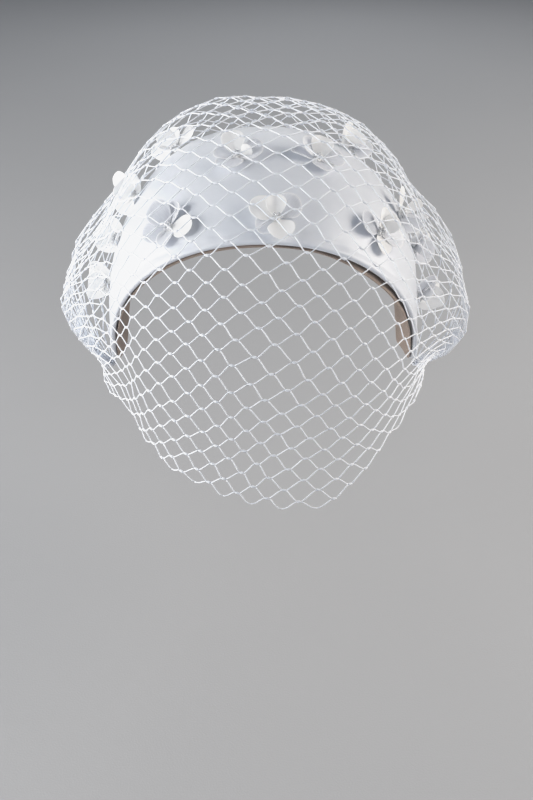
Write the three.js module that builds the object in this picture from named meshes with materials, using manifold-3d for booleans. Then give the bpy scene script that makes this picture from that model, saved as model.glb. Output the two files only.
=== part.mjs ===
// Bridal half hat: a satin-covered shell from ear to ear, fabric flowers with crystal centres, and a
// diamond netting veil gathered along the back edge. Millimetres, +Z up, the wearer faces -Y.
// The origin is the point at the top of the head that the hat rests on.
import * as THREE from 'three';
import { mergeVertices } from 'three/addons/utils/BufferGeometryUtils.js';
import Module from 'manifold-3d';

const wasm = await Module();
wasm.setup();

// ---- driving dimensions ----
const GAP = 0.3; // clearance between pieces that are sewn together
const SHELL_WALL = 3; // stiffened base with satin on it
const LINING_WALL = 1;
const LINING_GAP = 0.7;
const LINING_MARGIN = 3.5; // the lining stops this far inside the rim at the back and the ends
const LINING_SHOWS = 1.5; // and shows this far beyond it in front
const SEAT_DEPTH = SHELL_WALL + LINING_GAP + LINING_WALL; // outer top of the shell to the head

// Outer form of the shell: a slightly squared ellipsoid, with near upright sides below its centre.
const FORM = { halfWidth: 85.5, halfLength: 100, rise: 99, skirt: 400, power: 2.25 };
const CENTRE = new THREE.Vector3(0, 0, SEAT_DEPTH - FORM.rise);

// Outline of the shell in degrees round that centre: across to each ear, and fore and aft.
const END_ANGLE = 108;
const HALF_SPAN = 41.5;
const SPAN_FALL = 0.65; // how the span closes towards the ends
const END_LEAN = 2; // the ends lie this far forward
const LIP = { rise: 0.9, width: 4.5 }; // the front rim rolls outward

const END_REACH = 170; // length of the shell from its top to an end
const TIP_SPAN = 1.2; // degrees to which the shell's half span closes at the tips

const SHELL_STATIONS = 36;
const SHELL_SPANS = 9;
const END_ROUND = 84; // degrees of the sine spacing that closes the ends

const TANGENT_STEP = 0.5; // degrees either way over which a tangent of the form is taken
const RATE_STEP = 0.01; // the same as a share of a petal's or the net's length

const rad = THREE.MathUtils.degToRad;
const deg = THREE.MathUtils.radToDeg;
const { clamp, lerp, smoothstep } = THREE.MathUtils;

// ---- the form that everything sits on ----

function direction(across, foreAft) {
  const a = rad(across);
  const f = rad(foreAft);
  return new THREE.Vector3(Math.sin(a) * Math.cos(f), -Math.sin(f), Math.cos(a) * Math.cos(f));
}

// Under 1 inside the form and 1 on its surface, for an offset from its centre.
function formLevel(offset) {
  const height = offset.z > 0 ? FORM.rise : FORM.skirt;
  return Math.abs(offset.x / FORM.halfWidth) ** FORM.power
    + Math.abs(offset.y / FORM.halfLength) ** FORM.power
    + Math.abs(offset.z / height) ** FORM.power;
}

function formPoint(across, foreAft) {
  const ray = direction(across, foreAft);
  return ray.multiplyScalar(formLevel(ray) ** (-1 / FORM.power)).add(CENTRE);
}

// Point on the form with its outward normal and its forward tangent.
function formFrame(across, foreAft) {
  const point = formPoint(across, foreAft);
  const forward = formPoint(across, foreAft + TANGENT_STEP).sub(formPoint(across, foreAft - TANGENT_STEP));
  const side = formPoint(across + TANGENT_STEP, foreAft).sub(formPoint(across - TANGENT_STEP, foreAft));
  const normal = new THREE.Vector3().crossVectors(forward, side).normalize();
  if (normal.dot(point.clone().sub(CENTRE)) < 0) {
    normal.negate();
  }
  return { point, forward: forward.normalize(), normal };
}

function raised(frame, height) {
  return frame.point.clone().addScaledVector(frame.normal, height);
}

function halfSpan(across) {
  return HALF_SPAN * Math.max(0, 1 - (across / END_ANGLE) ** 2) ** SPAN_FALL;
}

function bandCentre(across) {
  return END_LEAN * (across / END_ANGLE) ** 2;
}

// ---- meshes ----

function closedGeometry(points, faces) {
  const geometry = new THREE.BufferGeometry();
  geometry.setAttribute('position', new THREE.Float32BufferAttribute(points.flatMap((p) => p.toArray()), 3));
  geometry.setIndex(faces.flat());
  return geometry;
}

// Skin over a row of closed loops with the same number of points, each end closed by a fan.
function skinLoops(loops) {
  const size = loops[0].length;
  const points = loops.flat();
  const faces = [];
  for (let i = 0; i + 1 < loops.length; i += 1) {
    for (let j = 0; j < size; j += 1) {
      const a = i * size + j;
      const b = i * size + ((j + 1) % size);
      faces.push([a, b + size, b], [a, a + size, b + size]);
    }
  }
  for (const [start, turn] of [[0, 0], [(loops.length - 1) * size, 1]]) {
    const middle = new THREE.Vector3();
    points.slice(start, start + size).forEach((p) => middle.addScaledVector(p, 1 / size));
    const hub = points.push(middle) - 1;
    for (let j = 0; j < size; j += 1) {
      const a = start + j;
      const b = start + ((j + 1) % size);
      faces.push(turn ? [hub, b, a] : [hub, a, b]);
    }
  }
  return closedGeometry(points, faces);
}

// Solid of even wall from a surface of triangles. Each corner is a { point, normal } on its middle.
function thickSheet(corners, triangles, wall) {
  const points = corners.map(({ point, normal }) => point.clone().addScaledVector(normal, wall / 2));
  corners.forEach(({ point, normal }) => points.push(point.clone().addScaledVector(normal, -wall / 2)));
  const low = (k) => k + corners.length;
  const faces = [];
  const rim = new Map();
  for (const [a, b, c] of triangles) {
    faces.push([a, b, c], [low(c), low(b), low(a)]);
    for (const [from, to] of [[a, b], [b, c], [c, a]]) {
      if (!rim.delete(`${to},${from}`)) {
        rim.set(`${from},${to}`, [from, to]);
      }
    }
  }
  for (const [from, to] of rim.values()) {
    faces.push([to, from, low(from)], [to, low(from), low(to)]);
  }
  return closedGeometry(points, faces);
}

function paint(name, geometry, look) {
  geometry.computeVertexNormals();
  const mesh = new THREE.Mesh(geometry, new THREE.MeshStandardMaterial(look));
  mesh.name = name;
  return mesh;
}

// ---- shell and lining ----

// A band of even wall on the form. outer is the height of its outer face, shows is how far it reaches
// past the shell's front rim, and roundings are the degrees of the points on its half-round rims.
function band({ outer, wall, margin, shows, lip, roundings }) {
  const loops = [];
  for (let i = 0; i <= SHELL_STATIONS; i += 1) {
    const across = END_ANGLE * (1 - margin / END_REACH)
      * Math.sin(rad(lerp(-END_ROUND, END_ROUND, i / SHELL_STATIONS)));
    const back = bandCentre(across) - Math.max(halfSpan(across) - deg(margin / FORM.halfLength), TIP_SPAN);
    const front = bandCentre(across) + Math.max(halfSpan(across) + deg(shows / FORM.halfLength), TIP_SPAN);
    const loop = [];
    const lipHeight = (foreAft) => {
      const fromRim = rad(front - foreAft) * FORM.halfLength;
      return lip ? LIP.rise * (1 - smoothstep(fromRim, 0, LIP.width)) : 0;
    };
    // ahead is 1 where a face runs from back to front, and at the front rim.
    const face = (height, ahead) => {
      for (let j = 0; j <= SHELL_SPANS; j += 1) {
        const foreAft = lerp(back, front, ahead > 0 ? j / SHELL_SPANS : 1 - j / SHELL_SPANS);
        loop.push(raised(formFrame(across, foreAft), height + lipHeight(foreAft)));
      }
    };
    const rim = (ahead) => {
      const foreAft = ahead > 0 ? front : back;
      const frame = formFrame(across, foreAft);
      for (const angle of roundings) {
        const swing = rad(ahead > 0 ? 180 - angle : angle);
        const height = outer - wall / 2 + lipHeight(foreAft) + (wall / 2) * Math.cos(swing);
        loop.push(raised(frame, height).addScaledVector(frame.forward, ahead * (wall / 2) * Math.sin(swing)));
      }
    };
    face(outer, -1);
    rim(-1);
    face(outer - wall, 1);
    rim(1);
    loops.push(loop);
  }
  return skinLoops(loops);
}

// ---- veil ----

const VEIL = {
  wall: 1.6, // thickness of the net's solid
  strut: 2.7, // width of a bundle of strands
  rows: 22, // half cells from the back rim to the free edge
  browFrom: 20, // degrees of swing at which the stand-off starts to go from its top to its front value
  rise: 0.16, // share of the length in which the net leaves the back rim
  fanOut: 0.3, // share of the length in which its columns spread from the rim
  seam: 1.8, // clearance to the back rim at the gathered edge
};
// Degrees from the middle to each column of knots. The last column is at the ear, where the folds of
// the gathered net meet.
const KNOT_TURNS = [0, 9.3, 19, 30, 42.5, 58, 76, 87];
const OPEN_COLUMNS = 5;
// The net's form by degrees from the middle towards an ear: how far it stands off the head on top and in
// front, its free edge in degrees ahead of upright, and where its front stand-off is reached.
const VEIL_FORM = [
  { turn: -90, top: 0, front: 0, edge: 98, browTo: 76 },
  { turn: -86, top: 14, front: 7, edge: 98, browTo: 76 },
  { turn: -80, top: 21, front: 9, edge: 97, browTo: 76 },
  { turn: -70, top: 24.5, front: 8, edge: 94, browTo: 76 },
  { turn: -57, top: 18.5, front: 5, edge: 90, browTo: 80 },
  { turn: -44, top: 11.5, front: 5, edge: 89, browTo: 84 },
  { turn: -30, top: 12.5, front: 10, edge: 94, browTo: 90 },
  { turn: -15, top: 14, front: 13, edge: 98.5, browTo: 90 },
  { turn: 0, top: 14.5, front: 14, edge: 101.5, browTo: 90 },
  { turn: 15, top: 14, front: 13.5, edge: 102, browTo: 90 },
  { turn: 30, top: 12.5, front: 10, edge: 100, browTo: 90 },
  { turn: 44, top: 12, front: 6, edge: 97, browTo: 84 },
  { turn: 57, top: 19.5, front: 5, edge: 95, browTo: 80 },
  { turn: 70, top: 26.5, front: 8, edge: 95, browTo: 76 },
  { turn: 80, top: 25, front: 10, edge: 97, browTo: 76 },
  { turn: 86, top: 16, front: 8, edge: 98, browTo: 76 },
  { turn: 90, top: 0, front: 0, edge: 98, browTo: 76 },
];
const SEAT = formPoint(END_ANGLE - 1, END_LEAN);
const EAR_LINE = new THREE.Vector3(0, SEAT.y, SEAT.z);

// Smooth curve through a table's rows. key names the column to read along, value the one to return.
function tableCurve(table, key, value, at) {
  const last = table.length - 1;
  const found = table.findIndex((row) => row[key] > at);
  const k = found < 0 ? last : clamp(found, 1, last);
  const [a, b] = [table[k - 1], table[k]];
  const before = table[Math.max(k - 2, 0)];
  const after = table[Math.min(k + 1, last)];
  const slopeA = (b[value] - before[value]) / (b[key] - before[key]);
  const slopeB = (after[value] - a[value]) / (after[key] - a[key]);
  const step = b[key] - a[key];
  const s = (at - a[key]) / step;
  return a[value] * (2 * s ** 3 - 3 * s ** 2 + 1) + slopeA * step * (s ** 3 - 2 * s ** 2 + s)
    + b[value] * (3 * s ** 2 - 2 * s ** 3) + slopeB * step * (s ** 3 - s ** 2);
}

// Distance from a point inside the form to its surface along a direction.
function formDistance(from, along) {
  let near = 0;
  let far = 2 * FORM.halfLength;
  while (far - near > 1e-6) {
    const middle = (near + far) / 2;
    if (formLevel(from.clone().addScaledVector(along, middle).sub(CENTRE)) < 1) {
      near = middle;
    } else {
      far = middle;
    }
  }
  return near;
}

// Middle of the net at a turn from the middle towards an ear (-90 to 90) and v, from the back rim (0) to
// the free edge (1). Its rows fan out round the line from ear to ear.
function veilPoint(turn, v) {
  const across = (END_ANGLE - 1) * turn / 90;
  const rim = formPoint(across, bandCentre(across) - halfSpan(across)).sub(EAR_LINE);
  const rimTurn = deg(Math.asin(rim.x / rim.length()));
  const rimSwing = deg(Math.atan2(-rim.y, rim.z));
  const form = (value) => tableCurve(VEIL_FORM, 'turn', value, turn);
  const swing = lerp(rimSwing, form('edge'), v);
  const bearing = lerp(rimTurn, turn, smoothstep(v, 0, VEIL.fanOut));
  const along = new THREE.Vector3(
    Math.sin(rad(bearing)),
    -Math.cos(rad(bearing)) * Math.sin(rad(swing)),
    Math.cos(rad(bearing)) * Math.cos(rad(swing)),
  );
  const puff = lerp(form('top'), form('front'), smoothstep(swing, VEIL.browFrom, form('browTo')));
  const standOff = VEIL.seam + puff * smoothstep(v, 0, VEIL.rise);
  return EAR_LINE.clone().addScaledVector(along, formDistance(EAR_LINE, along) + standOff + VEIL.wall / 2);
}

function veilNormal(turn, v) {
  const right = veilPoint(Math.min(turn + TANGENT_STEP, 90), v);
  const left = veilPoint(Math.max(turn - TANGENT_STEP, -90), v);
  const across = right.sub(left);
  const along = veilPoint(turn, Math.min(v + RATE_STEP, 1)).sub(veilPoint(turn, Math.max(v - RATE_STEP, 0)));
  return new THREE.Vector3().crossVectors(along, across).normalize();
}

// Open net of diamonds. Each cell is a ring round its hole, and the rings meet on the strands' middles.
function netGeometry() {
  const corners = [];
  const triangles = [];
  const knots = new Map();
  const turnOf = (i) => Math.sign(i) * KNOT_TURNS[Math.abs(i)];
  const corner = (turn, v) => corners.push({ point: veilPoint(turn, v), normal: veilNormal(turn, v) }) - 1;
  const knot = (i, j) => {
    const key = `${i},${j}`;
    if (!knots.has(key)) {
      knots.set(key, corner(turnOf(i), j / VEIL.rows));
    }
    return knots.get(key);
  };
  const quad = (a, b, c, d) => triangles.push([a, b, c], [a, c, d]);
  for (let i = -OPEN_COLUMNS; i <= OPEN_COLUMNS; i += 1) {
    for (let j = (i + 1) & 1; j < VEIL.rows; j += 2) {
      const ring = [[i - 1, j], [i, j + 1], [i + 1, j], [i, Math.max(j - 1, 0)]];
      const places = ring.map(([column, row]) => [turnOf(column), row / VEIL.rows]);
      const middle = [0, 1].map((axis) => places.reduce((sum, p) => sum + p[axis], 0) / places.length);
      // The hole is the cell drawn in until its nearest side is half a strut from the middle line.
      const centre = veilPoint(...middle);
      const nearest = Math.min(...places.map((place, k) => {
        const side = new THREE.Line3(veilPoint(...place), veilPoint(...places[(k + 1) % ring.length]));
        return side.closestPointToPoint(centre, true, new THREE.Vector3()).distanceTo(centre);
      }));
      const share = 1 - VEIL.strut / 2 / nearest;
      const outer = ring.map(([column, row]) => knot(column, row));
      const inner = places.map((p) => corner(lerp(middle[0], p[0], share), lerp(middle[1], p[1], share)));
      outer.forEach((_, k) => {
        const next = (k + 1) % ring.length;
        quad(outer[k], outer[next], inner[next], inner[k]);
      });
    }
  }
  // Past the open cells, each pair of rows closes to the column of their outermost knots and runs on
  // in one fold to the ear.
  const [edge, ear] = [OPEN_COLUMNS + 1, OPEN_COLUMNS + 2];
  for (const side of [-1, 1]) {
    for (let row = 0; row < VEIL.rows; row += 2) {
      const tip = knot(side * OPEN_COLUMNS, row + 1);
      const [from, to] = [row, row + 2].map((k) => knot(side * edge, k));
      const [earFrom, earTo] = [row, row + 2].map((k) => knot(side * ear, k));
      if (side > 0) {
        triangles.push([tip, to, from]);
        quad(from, to, earTo, earFrom);
      } else {
        triangles.push([tip, from, to]);
        quad(from, earFrom, earTo, to);
      }
    }
  }
  return thickSheet(corners, triangles, VEIL.wall);
}

// ---- flowers ----

const PETAL = {
  count: 5,
  wall: 1,
  start: 1.6, // from the flower's axis
  droop: 28, // degrees by which a petal bends down towards its tip
};
// Half width of a petal along its length, both as shares of that length.
const PETAL_OUTLINE = [
  { along: 0, half: 0.1 },
  { along: 0.4, half: 0.3 },
  { along: 0.76, half: 0.46 },
  { along: 1, half: 0.24 },
];
const HUB = { radius: 2.6, height: 1.6, sides: 6 };
const BEAD_RADIUS = 1.5;

// Where each flower sits on the shell, in degrees across and fore and aft, its radius, its turn, the mean
// opening of its petals above the shell, and how much that varies from petal to petal.
const FLOWERS = [
  { name: 'top_left', across: -8, foreAft: 9.2, radius: 13.5, spin: 18, open: 36, spread: 16 },
  { name: 'top_right', across: 16, foreAft: 8, radius: 13.5, spin: 60, open: 30, spread: 12 },
  { name: 'front_middle', across: 4.2, foreAft: 35, radius: 14, spin: 30, open: 30, spread: 16 },
  { name: 'front_left', across: -31, foreAft: 30, radius: 13.5, spin: 10, open: 32, spread: 18 },
  { name: 'front_right', across: 39.5, foreAft: 26, radius: 13, spin: 46, open: 36, spread: 16 },
  { name: 'crest_left', across: -30, foreAft: -19, radius: 12.5, spin: 36, open: 38, spread: 10 },
  { name: 'crest_right', across: 29, foreAft: -18, radius: 12.5, spin: 64, open: 42, spread: 10 },
  { name: 'shoulder_left', across: -46, foreAft: -5, radius: 12.5, spin: 30, open: 48, spread: 12 },
  { name: 'shoulder_right', across: 50, foreAft: 2, radius: 13, spin: 0, open: 54, spread: 12 },
  { name: 'side_left', across: -58, foreAft: 4, radius: 12.5, spin: 55, open: 50, spread: 12 },
  { name: 'side_right', across: 66, foreAft: -3, radius: 12.5, spin: 25, open: 52, spread: 10 },
  { name: 'end_left', across: -73, foreAft: 8, radius: 13, spin: 12, open: 46, spread: 14 },
  { name: 'end_right', across: 80, foreAft: 6, radius: 13.5, spin: 48, open: 54, spread: 12 },
];

// Petal at a share of its length and of its half width, in the flower's own frame with +Z out of it.
function petalPoint(length, open, along, aside) {
  const half = length * tableCurve(PETAL_OUTLINE, 'along', 'half', along);
  const bend = rad(PETAL.droop);
  const start = rad(open);
  const reach = bend * along;
  // A petal's middle is an arc that starts at its opening and bends down by droop over its length.
  const out = length / bend * (Math.sin(start) - Math.sin(start - reach));
  const up = length / bend * (Math.cos(start - reach) - Math.cos(start));
  return new THREE.Vector3(PETAL.start + out, aside * half, up);
}

function petalSolid(length, open) {
  const corners = [];
  const triangles = [];
  PETAL_OUTLINE.forEach(({ along }, row) => [-1, 1].forEach((aside, column) => {
    const point = petalPoint(length, open, along, aside);
    const ahead = petalPoint(length, open, along + RATE_STEP, aside).sub(point);
    const side = petalPoint(length, open, along, aside + RATE_STEP).sub(point);
    corners.push({ point, normal: ahead.cross(side).normalize() });
    if (row && column) {
      const k = corners.length - 1;
      triangles.push([k - 3, k - 1, k], [k - 3, k, k - 2]);
    }
  }));
  return thickSheet(corners, triangles, PETAL.wall);
}

function toSolid(geometry) {
  const bare = geometry.clone();
  bare.deleteAttribute('normal');
  bare.deleteAttribute('uv');
  const merged = mergeVertices(bare, 1e-4);
  return new wasm.Manifold(new wasm.Mesh({
    numProp: 3,
    vertProperties: new Float32Array(merged.attributes.position.array),
    triVerts: new Uint32Array(merged.index.array),
  }));
}

function fromSolid(solid) {
  const mesh = solid.getMesh();
  const geometry = new THREE.BufferGeometry();
  geometry.setAttribute('position', new THREE.BufferAttribute(mesh.vertProperties, 3));
  geometry.setIndex(new THREE.BufferAttribute(mesh.triVerts, 1));
  return geometry;
}

// Petals joined at a sewn middle that stands on the flower's own XY plane.
function flowerGeometry({ radius, open, spread, spin }) {
  const hub = new THREE.CylinderGeometry(HUB.radius * 0.8, HUB.radius, HUB.height, HUB.sides);
  hub.rotateX(Math.PI / 2).translate(0, 0, HUB.height / 2);
  let flower = toSolid(hub);
  for (let k = 0; k < PETAL.count; k += 1) {
    const opening = open + spread * Math.cos(rad(spin + 144 * k));
    const petal = petalSolid(radius - PETAL.start, opening);
    petal.translate(0, 0, HUB.height / 2).rotateZ(rad(spin + 360 / PETAL.count * k));
    flower = flower.add(toSolid(petal));
  }
  return fromSolid(flower);
}

// Group whose XY plane lies on the shell at a place, with +Z out of it and +X forward.
function placed(across, foreAft, height) {
  const frame = formFrame(across, foreAft);
  const group = new THREE.Group();
  const side = new THREE.Vector3().crossVectors(frame.normal, frame.forward);
  group.quaternion.setFromRotationMatrix(new THREE.Matrix4().makeBasis(frame.forward, side, frame.normal));
  group.position.copy(raised(frame, height));
  return group;
}

// ---- the hat ----

const SATIN = { color: 0xf1f1f4, roughness: 0.42, metalness: 0 };
const LINING = { color: 0xd6c2b0, roughness: 0.8, metalness: 0 };
const NET = { color: 0xf4f3f8, roughness: 0.6, metalness: 0 };
const ORGANZA = { color: 0xf6f5f6, roughness: 0.55, metalness: 0 };
const CRYSTAL = { color: 0xe9eef2, roughness: 0.08, metalness: 0 };

const hat = new THREE.Group();
hat.add(paint('crown', band({
  outer: 0, wall: SHELL_WALL, margin: 0, shows: 0, lip: true, roundings: [45, 90, 135],
}), SATIN));
hat.add(paint('lining', band({
  outer: -SHELL_WALL - LINING_GAP,
  wall: LINING_WALL,
  margin: LINING_MARGIN,
  shows: LINING_SHOWS,
  lip: false,
  roundings: [90],
}), LINING));
hat.add(paint('veil', netGeometry(), NET));
for (const flower of FLOWERS) {
  const sewn = placed(flower.across, flower.foreAft, GAP);
  const bead = new THREE.SphereGeometry(BEAD_RADIUS, 10, 5).translate(0, 0, HUB.height + GAP + BEAD_RADIUS);
  sewn.add(paint(`flower_${flower.name}`, flowerGeometry(flower), ORGANZA));
  sewn.add(paint(`bead_${flower.name}`, bead, CRYSTAL));
  hat.add(sewn);
}

export default hat;
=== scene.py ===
"""Looks of a bridal half hat: satin, lining, netting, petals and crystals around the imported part.

Lengths are in millimetres and angles in degrees until a mesh is made. The camera, the lamps, the floor,
the sheets' flat sizes and the depths of the materials' bumps and scatter are in metres. +Z is up, the
wearer faces -Y, and left and right are the viewer's."""
import math
from types import SimpleNamespace

import bpy
import numpy as np
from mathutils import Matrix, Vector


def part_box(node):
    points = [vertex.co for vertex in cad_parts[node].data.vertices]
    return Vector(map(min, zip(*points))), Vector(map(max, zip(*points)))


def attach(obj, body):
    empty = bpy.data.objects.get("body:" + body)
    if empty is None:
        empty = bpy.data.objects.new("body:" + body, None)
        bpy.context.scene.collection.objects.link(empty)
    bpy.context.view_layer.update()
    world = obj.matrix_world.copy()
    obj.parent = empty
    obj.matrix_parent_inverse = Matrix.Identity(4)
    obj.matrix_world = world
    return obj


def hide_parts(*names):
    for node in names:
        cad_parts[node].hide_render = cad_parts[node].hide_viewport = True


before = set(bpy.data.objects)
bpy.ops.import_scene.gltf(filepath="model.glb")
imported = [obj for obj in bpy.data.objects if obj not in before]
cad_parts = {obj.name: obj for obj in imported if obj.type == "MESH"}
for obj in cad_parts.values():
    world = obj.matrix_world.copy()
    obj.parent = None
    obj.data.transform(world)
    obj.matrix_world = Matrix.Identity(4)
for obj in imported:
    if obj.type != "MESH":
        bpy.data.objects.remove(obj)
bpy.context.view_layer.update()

MM = 0.001

# ---- the form, as in the part's source ----

SHELL_WALL = 3.0
LINING_WALL = 1.0
LINING_GAP = 0.7
LINING_MARGIN = 3.5  # the lining stops this far inside the rim at the back and the ends
SEAT_DEPTH = SHELL_WALL + LINING_GAP + LINING_WALL
# Outer form of the shell: a slightly squared ellipsoid, with near upright sides below its centre
HALF_WIDTH, HALF_LENGTH, RISE, SKIRT, POWER = 85.5, 100.0, 99.0, 400.0, 2.25
CENTRE = np.array([0.0, 0.0, SEAT_DEPTH - RISE])
# Outline of the shell in degrees round that centre: across to each ear, and fore and aft
END_ANGLE = 108.0
HALF_SPAN = 41.5
SPAN_FALL = 0.65  # how the span closes towards the ends
END_LEAN = 2.0  # the ends lie this far forward
LIP_RISE, LIP_WIDTH = 0.9, 4.5  # the front rim rolls outward
END_REACH = 170.0  # length of the shell from its top to an end
TIP_SPAN = 1.2  # degrees to which the shell's half span closes at the tips
END_ROUND = 84.0  # degrees of the sine spacing that closes the ends
BEAD_HEIGHT = 3.7  # of a crystal's centre above the satin


def smoothstep(x, low, high):
    t = np.clip((x - low) / (high - low), 0, 1)
    return t * t * (3 - 2 * t)


def bell(distance, width):
    return np.exp(-((distance / width) ** 2))


def unit(v):
    return v / np.maximum(np.linalg.norm(v, axis=-1, keepdims=True), 1e-12)


def stack(*parts):
    return np.stack(np.broadcast_arrays(*parts), -1)


def form_level(offset):
    """Under 1 inside the form and 1 on its surface, for an offset from its centre."""
    height = np.where(offset[..., 2] > 0, RISE, SKIRT)
    return (np.abs(offset[..., 0] / HALF_WIDTH) ** POWER + np.abs(offset[..., 1] / HALF_LENGTH) ** POWER
            + np.abs(offset[..., 2] / height) ** POWER)


def form_normal(point):
    offset = point - CENTRE
    size = stack(HALF_WIDTH, HALF_LENGTH, np.where(offset[..., 2] > 0, RISE, SKIRT))
    return unit(np.sign(offset) * np.abs(offset / size) ** (POWER - 1) / size)


def form_point(across, fore_aft):
    a, f = np.radians(across), np.radians(fore_aft)
    ray = stack(np.sin(a) * np.cos(f), -np.sin(f), np.cos(a) * np.cos(f))
    return ray * (form_level(ray) ** (-1 / POWER))[..., None] + CENTRE


def half_span(across):
    return HALF_SPAN * np.maximum(0, 1 - (across / END_ANGLE) ** 2) ** SPAN_FALL


def band_centre(across):
    return END_LEAN * (across / END_ANGLE) ** 2


def waves(p, seed, length, count=7):
    """Smooth noise of about unit size: sines of seeded directions, with wavelengths round length."""
    rng = np.random.default_rng(seed)
    total = np.zeros(p.shape[:-1])
    for _ in range(count):
        way = unit(rng.normal(size=p.shape[-1]))
        total += np.sin(p @ way * (2 * np.pi / (length * rng.uniform(0.7, 1.5))) + rng.uniform(0, 2 * np.pi))
    return total / math.sqrt(count / 2)


# ---- meshes ----

def add_mesh(name, points, faces, materials, smooth=True, values=None, slots=None):
    """A piece from points in millimetres, with named values for each point and a material for each face."""
    mesh = bpy.data.meshes.new(name)
    mesh.from_pydata((np.asarray(points).reshape(-1, 3) * MM).tolist(), [], faces)
    mesh.polygons.foreach_set("use_smooth", np.full(len(mesh.polygons), smooth))
    for key, value in (values or {}).items():
        value = np.asarray(value, float)
        kind, field = ("FLOAT", "value") if value.ndim == 1 else ("FLOAT_VECTOR", "vector")
        mesh.attributes.new(key, kind, "POINT").data.foreach_set(field, value.ravel())
    mesh.update()
    piece = bpy.data.objects.new(name, mesh)
    bpy.context.scene.collection.objects.link(piece)
    for look in materials:
        mesh.materials.append(look)
    if slots is not None:
        mesh.polygons.foreach_set("material_index", slots)
    return piece


def declare(piece, node_name):
    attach(piece, "root")
    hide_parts(node_name)


def ring_faces(start, rows, size):
    """Quads of a tube of rows closed rings of size points each, from point number start."""
    i, j = np.meshgrid(np.arange(rows - 1), np.arange(size), indexing="ij")
    a = start + i * size + j
    b = start + i * size + (j + 1) % size
    return np.stack([a, b, b + size, a + size], -1).reshape(-1, 4)


def tubes(paths, radii, normals, sides, flatten=1.0):
    """Points and faces of one closed tube along each path. paths is (count, steps, 3), and normals
    gives the way that each tube's first side faces."""
    count, steps = paths.shape[:2]
    along = unit(np.gradient(paths, axis=1))
    side = unit(np.cross(np.broadcast_to(normals, paths.shape), along))
    up = np.cross(along, side) * flatten
    angle = 2 * np.pi * np.arange(sides) / sides
    ring = side[..., None, :] * np.cos(angle)[:, None] + up[..., None, :] * np.sin(angle)[:, None]
    radii = np.broadcast_to(radii, (count, steps))
    points = paths[..., None, :] + ring * radii[..., None, None]
    one = ring_faces(0, steps, sides)
    base = np.arange(count)[:, None, None] * steps * sides
    faces = (one + base).reshape(-1, 4).tolist()
    low = np.arange(sides)[::-1]
    high = np.arange(sides) + (steps - 1) * sides
    caps = (np.stack([low, high]) + base).reshape(-1, sides).tolist()
    return points.reshape(-1, 3), faces + caps


def bezier(a, b, c, d, steps):
    t = np.linspace(0, 1, steps)[:, None]
    a, b, c, d = (p[:, None] for p in (a, b, c, d))
    return a * (1 - t) ** 3 + b * 3 * t * (1 - t) ** 2 + c * 3 * t * t * (1 - t) + d * t ** 3


def merge(parts):
    """One list of points and faces from several."""
    points, faces, start = [], [], 0
    for p, f in parts:
        points.append(p)
        faces += [[k + start for k in face] for face in f]
        start += len(p)
    return np.concatenate(points), faces


# ---- materials ----

def node(tree, kind, inputs=None, **settings):
    made = tree.nodes.new("ShaderNode" + kind)
    for key, value in settings.items():
        setattr(made, key, value)
    for key, value in (inputs or {}).items():
        if isinstance(value, bpy.types.NodeSocket):
            tree.links.new(value, made.inputs[key])
        else:
            made.inputs[key].default_value = value
    return made


def material(name, **constants):
    made = bpy.data.materials.new(name)
    made.use_nodes = True
    shader = made.node_tree.nodes["Principled BSDF"]
    for key, value in constants.items():
        shader.inputs[key.replace("_", " ").title().replace("Ior", "IOR")].default_value = value
    return made, made.node_tree, shader


def blend_colour(tree, shader, factor, low, high):
    """The shader's colour, from low to high as factor goes from 0 to 1."""
    mixed = node(tree, "Mix", {"Factor": factor}, data_type="RGBA")
    low_colour, high_colour, result = mixed.inputs[6], mixed.inputs[7], mixed.outputs[2]
    low_colour.default_value = (*low, 1)
    high_colour.default_value = (*high, 1)
    tree.links.new(result, shader.inputs["Base Color"])


def attribute(tree, name, output="Vector"):
    return node(tree, "Attribute", attribute_name=name).outputs[output]


def object_place(tree):
    return node(tree, "TexCoord").outputs["Object"]


def stretched(tree, vector, scale):
    return node(tree, "Mapping", {"Vector": vector, "Scale": scale}).outputs[0]


def noise(tree, vector, scale, detail=3.0, roughness=0.5):
    return node(tree, "TexNoise", {"Vector": vector, "Scale": scale, "Detail": detail,
                                   "Roughness": roughness}).outputs["Fac"]


def math_node(tree, operation, a, b=0.0):
    made = node(tree, "Math", operation=operation)
    for k, value in enumerate((a, b)):
        if isinstance(value, bpy.types.NodeSocket):
            tree.links.new(value, made.inputs[k])
        else:
            made.inputs[k].default_value = value
    return made.outputs[0]


def add(tree, a, b):
    return math_node(tree, "ADD", a, b)


def times(tree, a, b):
    return math_node(tree, "MULTIPLY", a, b)


def span_to(tree, value, low, high):
    """The value from 0 to 1 carried onto low to high."""
    return add(tree, times(tree, value, high - low), low)


def average(tree, a, b):
    return times(tree, add(tree, a, b), 0.5)


def bump(tree, shader, height, distance):
    made = node(tree, "Bump", {"Height": height, "Distance": distance, "Strength": 1.0})
    tree.links.new(made.outputs[0], shader.inputs["Normal"])


def weave(tree, cloth, pitch):
    """Height of a plain weave with threads pitch apart, from 0 to 1."""
    parts = node(tree, "SeparateXYZ", {"Vector": cloth})
    turn = 2 * math.pi / pitch
    x = math_node(tree, "SINE", times(tree, parts.outputs[0], turn))
    y = math_node(tree, "SINE", times(tree, parts.outputs[1], turn))
    return span_to(tree, times(tree, x, y), 0.5, 1.0)


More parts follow.
